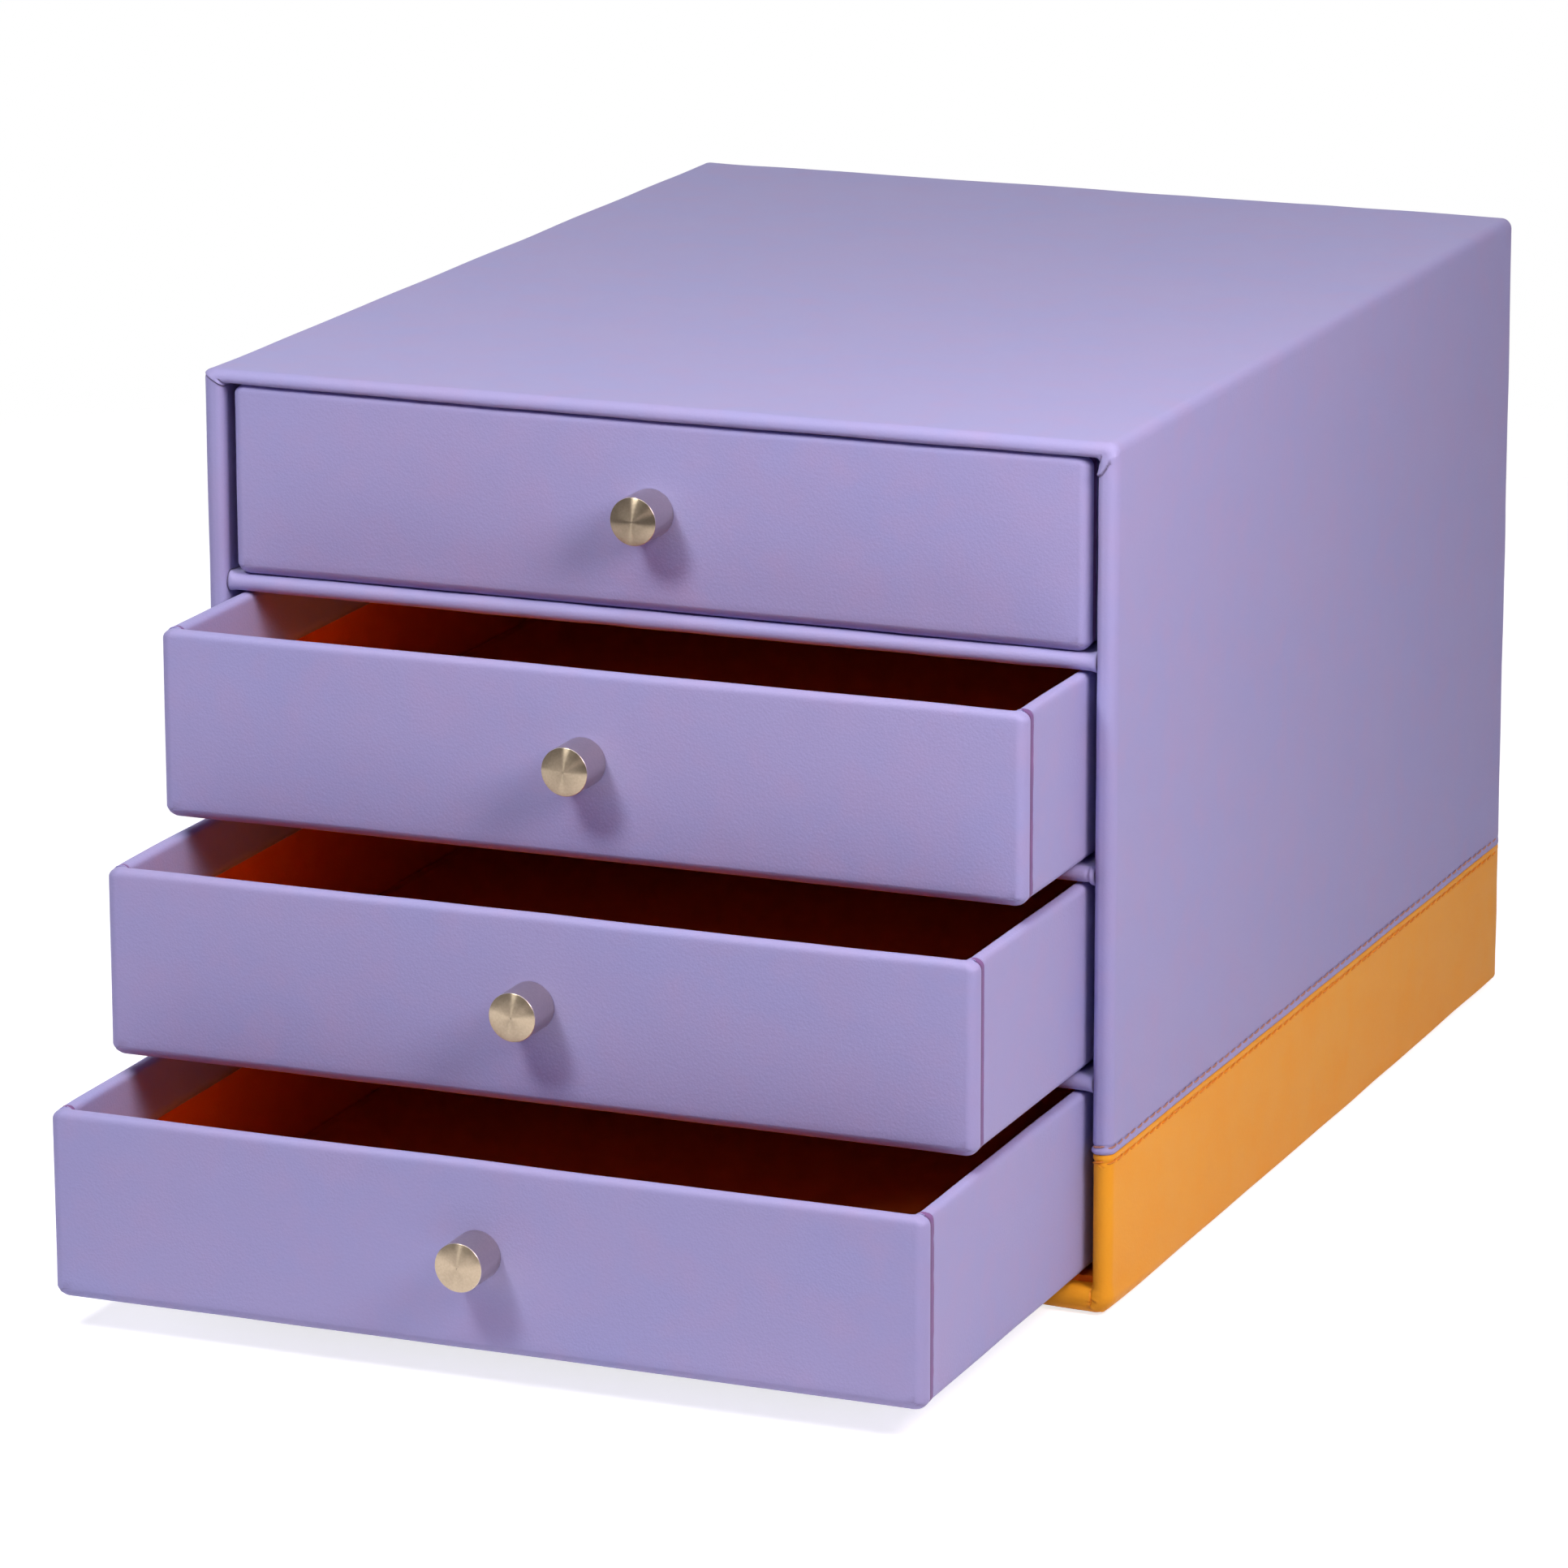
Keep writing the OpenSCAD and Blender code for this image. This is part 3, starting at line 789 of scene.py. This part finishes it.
def drawer_profile(under_z, low_inside):
    """Wall profile from the underside over the outer face and the rim down the inside."""

    def profile(width):
        flap = spaced(UNDER_FLAP, EDGE_R, 2.0)[:-1]
        flap = np.stack([flap, np.full_like(flap, under_z)], 1)
        edge = soft_arc((EDGE_R, EDGE_R), EDGE_R, 270, 180, 12, 1.35)
        edge[0, 1] = under_z
        height = spaced(EDGE_R, DRAWER_H - RIM_R, 2.2)[1:-1]
        face = np.stack([np.zeros_like(height), height], 1)
        rim = soft_arc((width / 2, DRAWER_H - RIM_R), (width / 2, RIM_R), 180, 0, 21, 0.8)
        inner = spaced(DRAWER_H - RIM_R, low_inside, 3.0)[1:]
        inner = np.stack([np.full_like(inner, width), inner], 1)
        return np.concatenate([flap, edge, face, rim, inner])

    return profile


def front_loop():
    """The front cover's path from the right end round the face to the left end."""
    corner = arc((DRAWER_X - DRAWER_R, DRAWER_R), DRAWER_R, 0, -90, 12)
    end = np.array([[DRAWER_X - 0.5, SPLIT_Y + 0.02], [DRAWER_X - 0.2, SPLIT_Y + 0.06],
                    [DRAWER_X - 0.04, SPLIT_Y], [DRAWER_X, SPLIT_Y - 0.15]])
    straight = spaced(DRAWER_X - DRAWER_R, DRAWER_R - DRAWER_X, 3.0)[1:-1]
    face = np.stack([straight, np.zeros_like(straight)], 1)
    half = np.concatenate([end, corner])
    outer = np.concatenate([half, face, half[::-1] * [-1, 1]])
    inner_half = np.stack([np.linspace(INNER_X, INNER_X - 1.6, len(half)), np.full(len(half), WALL_T)], 1)
    inner_half[:4, 0] = INNER_X
    inner_face = np.stack([np.linspace(INNER_X - 1.6, 1.6 - INNER_X, len(face) + 2)[1:-1],
                           np.full(len(face), WALL_T)], 1)
    inner = np.concatenate([inner_half, inner_face, inner_half[::-1] * [-1, 1]])
    return outer, inner


def wall_loop():
    """The wall cover's path from the right side round the back to the left side."""
    begin = np.array([[SIDE_X - 0.35, GROOVE_END_Y - 0.02], [SIDE_X + 0.12, GROOVE_END_Y],
                      [SIDE_X + 0.26, GROOVE_END_Y + 0.18], [SIDE_X + 0.20, GROOVE_END_Y + 0.7]])
    side = spaced(GROOVE_END_Y + 2.0, DRAWER_L - 6.0, 4.0)
    side = np.stack([np.full_like(side, SIDE_X), side], 1)
    corner = arc((SIDE_X - DRAWER_R, DRAWER_L - DRAWER_R), DRAWER_R, 0, 90, 10)
    back = spaced(SIDE_X - 6.0, 6.0 - SIDE_X, 6.0)
    back = np.stack([back, np.full_like(back, DRAWER_L)], 1)
    half = np.concatenate([begin, side, corner])
    outer = np.concatenate([half, back, half[::-1] * [-1, 1]])
    inner_begin = np.array([[INNER_X, WALL_T + 1.3 + 0.15 * k] for k in range(4)])
    inner_side = side - [SIDE_X - INNER_X, 0]
    inner_corner = arc((INNER_X - 1, DRAWER_L - WALL_T - 1), 1.0, 0, 90, 10)
    inner_back = back - [0, WALL_T]
    inner_half = np.concatenate([inner_begin, inner_side, inner_corner])
    inner = np.concatenate([inner_half, inner_back, inner_half[::-1] * [-1, 1]])
    return outer, inner


def board_cover(loop, under_z, low_inside, direction):
    """A cover's points round a loop of walls, and their normals."""
    outer, inner = loop
    points = sweep(outer, inner, drawer_profile(under_z, low_inside))
    points = facing(points, (len(outer) // 2, 20), direction)
    return points, grid_normals(points)


def settle(points, number):
    """Soft waves of a hand-covered board: most at the rims, least low on the walls."""
    high = step_up(points[..., 2], DRAWER_H - 14, DRAWER_H)
    low = 1 - step_up(points[..., 2], 2.0, 9.0)
    seed = 100 + 10 * number
    # The top drawer's rim follows the mouth's upper edge near its front.
    bent = mouth_lift(points[..., 0]) * (1 - step_up(points[..., 1], 5.0, 13.0))
    lift = {1: 0.2 + bent, 4: 0.42}.get(number, 0.3)
    corner = step_up(np.abs(points[..., 0]), 118.0, 122.3) * (1 - step_up(points[..., 1], 3.0, 9.0))
    points[..., 2] += high * (0.10 * wobble(points, 46.0, seed) + lift - 0.7 * corner)
    points[..., 2] += low * (0.06 * wobble(points, 40.0, seed + 1) + (0.3 if number == 4 else 0.04))
    return points


# A small fold that runs up from each lower corner of a drawer's face, and where it ends
CORNER_FOLD = [(121.2, 1.4), (119.6, 1.9), (117.6, 3.4)]
FOLD_MIDDLE, FOLD_REACH = (119.4, 2.6), 4


def front_skin(number, body, origin):
    """The cover of a drawer's front, wrapped round its ends."""
    seed = 200 + 20 * number
    points, normal = board_cover(front_loop(), 0.0, TURN_Z[number], (0, -1, 0))
    on_face = 1 - step_up(points[..., 1], 0.2, 2.5)
    lift = 0.06 * wobble(points, 60.0, seed) + 0.035 * wobble(points, 18.0, seed + 1) - 0.05
    flat = np.stack([np.abs(points[..., 0]), points[..., 2]], -1)
    rise, crease = fold(flat, CORNER_FOLD, 0.12, 0.8)
    low_corner = np.linalg.norm(flat - np.array(FOLD_MIDDLE), axis=-1) < FOLD_REACH
    low_corner = low_corner * (1 - step_up(points[..., 1], 1.5, 3.0))
    lift = lift * (0.3 + 0.7 * on_face) + rise * low_corner
    points = settle(points + normal * lift[..., None], number)
    # Shade is painted in the small folds at the face's lower corners.
    grid_piece(points + origin, 0.3 * crease * low_corner, f"{body}_front_skin", body, lavender,
               "lavender_leatherette", [f"{body}_front_cover"], 0.3)


def wall_skin(number, body, origin):
    """The cover of a drawer's sides and back, with its sheet under the floor."""
    seed = 202 + 20 * number
    points, normal = board_cover(wall_loop(), 0.15, TURN_Z[number], (0, 1, 0))
    lift = 0.05 * wobble(points, 60.0, seed) - 0.06
    shell = Shell()
    shell.grid(settle(points + normal * lift[..., None], number) + origin)
    under = sheet_grid(spaced(-114.0, 114.0, 19.0), spaced(7.0, 327.0, 20.0), 0.35)
    shell.grid(facing(under, (3, 3), (0, 0, -1)) + origin)
    shell.make(f"{body}_wall_skin", body, lavender, "lavender_leatherette",
               [f"{body}_wall_cover"], 0.3)


def wrap_edges(number, body, origin):
    """The front cover's dark cut edges, in a groove over the rim and down each side, with shade painted
    on their front part next to the front cover.
    """
    seed = 204 + 20 * number
    shell = Shell()
    rows = 10
    for side in (1, -1):
        y = np.linspace(SPLIT_Y - 0.5, GROOVE_END_Y + 0.5, rows)
        outer = np.stack([np.full(rows, side * WRAP_X), y], 1)
        inner_y = np.linspace(WALL_T - 0.2, WALL_T + 1.7, rows)
        inner = np.stack([np.full(rows, side * INNER_X), inner_y], 1)
        points, normal = board_cover((outer, inner), 0.3, DRAWER_H - 6.0, (side, 0, 0))
        # Shade painted on the front part of the groove, beside the front cover's edge.
        front_part = 1 - step_up(points[..., 1], SPLIT_Y + 0.5, SPLIT_Y + 1.4)
        lift = 0.03 * wobble(points, 5.0, seed + side) - 0.04
        shell.grid(settle(points + normal * lift[..., None], number) + origin, front_part)
    shell.make(f"{body}_wrap_edge", body, wrap_edge, "lavender_leatherette", (), 0.25)


def wall_lining(number, body, origin):
    """The orange lining of the inner walls, up to the turned-in edges of the covers."""
    x1, y0, y1 = INNER_X + LINING_SUNK, WALL_T - LINING_SUNK, DRAWER_L - WALL_T + LINING_SUNK
    corner = arc((x1 - 1, y1 - 1), 1.0, 0, 90, 8)
    side = spaced(y0 + 1.2, y1 - 1.2, 5.0)
    back = spaced(x1 - 1.2, 1.2 - x1, 5.0)
    half = np.concatenate([arc((x1 - 1, y0 + 1), 1.0, -90, 0, 8),
                           np.stack([np.full_like(side, x1), side], 1), corner])
    loop = np.concatenate([half, np.stack([back, np.full_like(back, y1)], 1),
                           half[::-1] * [-1, 1], np.stack([back[::-1], np.full_like(back, y0)], 1)])
    heights = spaced(LINING_Z - 0.6, TURN_Z[number] + 1.5, 2.0)
    grid = np.array([[(x, y, z) for z in heights] for x, y in np.concatenate([loop, loop[:1]])])
    grid = facing(grid, (12, 3), (-1, 0, 0))
    grid = grid + grid_normals(grid) * (0.05 * wobble(grid, 30.0, 400 + number))[..., None]
    grid_piece(grid + origin, None, f"{body}_wall_lining_skin", body, lining, "orange_lining",
               [f"{body}_wall_lining"], 0.4)


def floor_lining(number, body, origin):
    """The orange sheet on the drawer's floor, with soft bubbles, a turned edge and painted shade just
    inside it.
    """
    x = dense_lines(-INNER_X, INNER_X, 6.0, [(-INNER_X, 4.0, 0.8), (INNER_X, 4.0, 0.8)])
    y = dense_lines(WALL_T, DRAWER_L - WALL_T, 6.0,
                    [(WALL_T, 4.0, 0.8), (DRAWER_L - WALL_T, 4.0, 0.8)])
    grid = sheet_grid(x, y, LINING_Z)
    edge = np.minimum(INNER_X - np.abs(grid[..., 0]),
                      np.minimum(grid[..., 1] - WALL_T, DRAWER_L - WALL_T - grid[..., 1]))
    grid[..., 2] += 0.10 * wobble(grid, 55.0, 300 + number) * step_up(edge, 0, 12) - 0.12
    grid[..., 2] += 0.5 * bump(edge, 0.0, 0.9) - 0.08 * bump(edge, 2.4, 1.2)
    # Shade painted in a line just inside the turned edge, along the walls.
    grid_piece(facing(grid, (10, 10), (0, 0, 1)) + origin, 0.4 * bump(edge, 1.2, 0.6),
               f"{body}_lining", body, lining, "orange_lining", [f"{body}_floor_lining"], 0.4)


# ---- Knobs and their screws ----

KNOB_R, KNOB_L, BEVEL = 6.5, 12.8, 0.25
# The face is domed, and it falls off faster outside the second radius.
DOME_R, ROLL_R = 31.0, 4.0
BORE_R, BORE_L = 2.05, 8.0


def lathe(profile, around, dent=None):
    """Solid of revolution about -Y: rings from a profile of (radius, height) places."""
    turn = np.linspace(0, 2 * math.pi, around, endpoint=False)
    rings = np.array([[(r * math.cos(a), -h, r * math.sin(a)) for a in turn] for r, h in profile])
    if dent is not None:
        rings = dent(rings, turn)
    index, after = ring_index(len(profile), around)
    quads = np.stack([index[:-1], index[1:], after[1:], after[:-1]], -1).reshape(-1, 4)
    return rings, quads.tolist(), index


def face_fall(radius):
    """How far a knob's domed face lies behind its middle at a radius."""
    return radius**2 / (2 * DOME_R) + 0.026 * np.maximum(radius - ROLL_R, 0) ** 2


def knob(body, origin):
    """A turned knob: its side with the screw's bore, and its face."""
    rim = KNOB_R - BEVEL
    fall = face_fall(rim)
    bevel = [(KNOB_R - BEVEL * (1 - math.cos(a)), KNOB_L - fall - BEVEL + BEVEL * math.sin(a))
             for a in np.radians(np.linspace(0, 78, 6))]
    side = ([(0.01, BORE_L), (BORE_R - 0.2, BORE_L), (BORE_R, BORE_L - 0.2), (BORE_R, 0.2),
             (BORE_R + 0.2, 0.0), (rim, 0.0), (KNOB_R - 0.07, 0.07), (KNOB_R, BEVEL)]
            + [(KNOB_R, h) for h in np.linspace(0.6, KNOB_L - fall - 0.5, 10)] + bevel[:4])
    face = bevel[3:] + [(r, KNOB_L - face_fall(r)) for r in np.linspace(rim - 0.1, 0.1, 40)]
    for name, profile, material, replaced in (
        ("knob_side", side, steel_side, [f"{body}_knob"]),
        ("knob_face", face, steel_face, []),
    ):
        rings, quads, index = lathe(profile, 96)
        shell = Shell()
        shell.add(rings + (origin + [0, 0, KNOB_Z]), quads)
        # The side's first ring and the face's last are closed by one polygon each.
        shell.faces.append((index[0][::-1] if profile is side else index[-1]).tolist())
        shell.make(f"{body}_{name}", body, material, "brushed_steel", replaced)


# The head of a knob's screw, its shank and how far it reaches into the knob
HEAD_R, HEAD_H = 4.0, 2.2
SHANK_R, SHANK_L = 2.0, 8.0
DOME_RINGS = 22


def screw_head(body, origin):
    """A knob's screw, with its domed head inside the drawer and a cross recess in it."""
    dome = [(r, HEAD_H - 0.9 * (r / HEAD_R) ** 2.4) for r in np.linspace(0.05, HEAD_R - 0.15, DOME_RINGS)]
    profile = dome + [(HEAD_R - 0.02, HEAD_H - 1.0), (HEAD_R, HEAD_H - 1.25), (HEAD_R, 0.1),
                      (HEAD_R - 0.1, 0.0), (SHANK_R, 0.0), (SHANK_R, -WALL_T - SHANK_L),
                      (0.05, -WALL_T - SHANK_L)]

    def dent(rings, turn):
        radius = np.hypot(rings[..., 0], rings[..., 2])
        arm = np.abs(np.sin(2 * turn))[None, :] * radius / 2
        inside = (1 - step_up(arm, 0.35, 0.6)) * (1 - step_up(radius, 1.7, 2.2))
        rings[:DOME_RINGS, :, 1] += 1.1 * inside[:DOME_RINGS]
        return rings

    rings, quads, index = lathe(profile, 64, dent)
    rings[..., 1] *= -1
    shell = Shell()
    shell.add(rings + (origin + [0, WALL_T, KNOB_Z]), [quad[::-1] for quad in quads])
    shell.faces.append(index[0].tolist())
    shell.faces.append(index[-1][::-1].tolist())
    shell.make(f"{body}_screw_head", body, screw_steel, "screw_steel", [f"{body}_knob_screw"])


# Each drawer is built in its own frame and stands where its CAD front is stored.
for drawer in (1, 2, 3, 4):
    low_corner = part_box(f"drawer_{drawer}_front_cover")[0]
    stored = np.array([0.0, low_corner.y / MM, low_corner.z / MM])
    for build in (front_skin, wall_skin, wrap_edges, wall_lining, floor_lining):
        build(drawer, f"drawer_{drawer}", stored)
    for build in (knob, screw_head):
        build(f"drawer_{drawer}", stored)


# ---- CAD nodes that stay ----

KEPT = {"base_liner": black_felt, "case_lining": lavender, "floor_panel": lining}
for name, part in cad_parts.items():
    finish = KEPT.get(name, greyboard)
    part.data.materials.clear()
    part.data.materials.append(finish)


# ---- The studio ----

AMBIENT = (0.025, 0.010, 0.070, 1)
# The room on the camera's side, as the surfaces reflect it
ROOM = (0.20, 0.19, 0.20, 1)
# How much the floor glows, so that it shows white where no shadow falls
FLOOR_GLOW = 0.74
# The floor is in metres, and lies just under the part.
FLOOR_R, FLOOR_Z = 1.1, -0.0002
# What the lamps shine on, in metres
AIM = (0.0, -0.05, 0.11)


def background_rays(tree, path):
    """1 for the rays that see the background: the camera's, reflected and transmitted ones."""
    seen = path.outputs["Is Camera Ray"]
    for ray in ("Is Glossy Ray", "Is Transmission Ray"):
        seen = node(tree, "ShaderNodeMath", {0: seen, 1: path.outputs[ray]},
                    operation="MAXIMUM").outputs[0]
    return seen


def floor_material():
    """A pale floor that fades out at its rim and shows white where no shadow falls."""
    material, tree, shader, place = new_material("studio_floor")
    fill(tree, shader, {"Base Color": (0.7, 0.7, 0.7, 1), "Roughness": 0.8, "Specular IOR Level": 0.1})
    add_relief(tree, shader, noise(tree, place, 40.0, 2.0), 0.02, 0.001)
    path = node(tree, "ShaderNodeLightPath")
    glow = node(tree, "ShaderNodeEmission", {"Color": (1, 1, 1, 1)})
    lift = node(tree, "ShaderNodeMath", {0: background_rays(tree, path), 1: FLOOR_GLOW},
                operation="MULTIPLY")
    fill(tree, glow, {"Strength": lift.outputs[0]})
    both = node(tree, "ShaderNodeAddShader", {0: shader.outputs[0], 1: glow.outputs[0]})
    away = node(tree, "ShaderNodeVectorMath", {0: place}, operation="LENGTH")
    # Reflected rays see a narrower rim than the camera.
    glossy = path.outputs["Is Glossy Ray"]
    start = spread(tree, glossy, 0.55, 0.80)
    end = spread(tree, glossy, 1.0, 0.86)
    fade = ramp(tree, away.outputs["Value"], start, end)
    clear = node(tree, "ShaderNodeBsdfTransparent")
    rim = node(tree, "ShaderNodeMixShader", {0: fade, 1: both.outputs[0], 2: clear.outputs[0]})
    fill(tree, tree.nodes["Material Output"], {"Surface": rim.outputs[0]})
    return material


def add_floor():
    """A round floor, which belongs to the studio."""
    mesh = bpy.data.meshes.new("floor")
    turn = np.linspace(0, 2 * math.pi, 96, endpoint=False)
    mesh.from_pydata([(FLOOR_R * math.cos(a), FLOOR_R * math.sin(a), FLOOR_Z) for a in turn], [],
                     [list(range(len(turn)))])
    mesh.materials.append(floor_material())
    floor = bpy.data.objects.new("floor", mesh)
    bpy.context.scene.collection.objects.link(floor)


def add_world():
    """A white background, with the dim room on the camera's side, and a low violet light."""
    world = bpy.data.worlds.new("studio")
    bpy.context.scene.world = world
    world.use_nodes = True
    tree = world.node_tree
    path = node(tree, "ShaderNodeLightPath")
    way = node(tree, "ShaderNodeTexCoord").outputs["Generated"]
    depth = node(tree, "ShaderNodeSeparateXYZ", {0: way}).outputs["Y"]
    behind = ramp(tree, depth, -0.25, 0.15)
    behind = node(tree, "ShaderNodeMath", {0: behind, 1: path.outputs["Is Camera Ray"]},
                  operation="MAXIMUM").outputs[0]
    backdrop = node(tree, "ShaderNodeBackground", {"Strength": 1.0})
    fill(tree, backdrop, {"Color": mix_color(tree, behind, ROOM, (1, 1, 1, 1))})
    ambient = tree.nodes["Background"]
    fill(tree, ambient, {"Color": AMBIENT})
    light = node(tree, "ShaderNodeMixShader", {0: background_rays(tree, path), 1: ambient.outputs[0],
                                               2: backdrop.outputs[0]})
    fill(tree, tree.nodes["World Output"], {"Surface": light.outputs[0]})


def add_lamp(name, spot, size, power, color, reflected=True):
    """A square area lamp that shines on the chest, with its place and size in metres."""
    data = bpy.data.lights.new(name, "AREA")
    data.size = size
    data.energy = power
    data.color = color
    lamp = bpy.data.objects.new(name, data)
    towards = np.array(spot) - np.array(AIM)
    towards /= np.linalg.norm(towards)
    side = np.cross((0, 0, 1), towards)
    side /= np.linalg.norm(side)
    up = np.cross(towards, side)
    lamp.matrix_world = Matrix.Translation(spot) @ Matrix((side, up, towards)).transposed().to_4x4()
    lamp.visible_glossy = reflected
    bpy.context.scene.collection.objects.link(lamp)


add_floor()
add_world()
add_lamp("key", (-0.290, -0.868, 0.940), 0.25, 5.75, (1.0, 1.0, 1.0))
add_lamp("side", (0.58, -0.415, 0.575), 0.3, 4.1, (1.0, 0.86, 0.90))
add_lamp("overhead", (0.108, -0.72, 1.90), 1.2, 11.0, (1.0, 0.98, 0.88))
add_lamp("front_fill", (-0.9, -1.9, 0.65), 1.2, 2.4, (0.70, 0.36, 1.0), reflected=False)
add_lamp("back_fill", (-1.3, 1.7, 0.25), 0.5, 22.0, (1.0, 1.0, 1.0), reflected=False)

bpy.context.scene.view_settings.view_transform = "Standard"
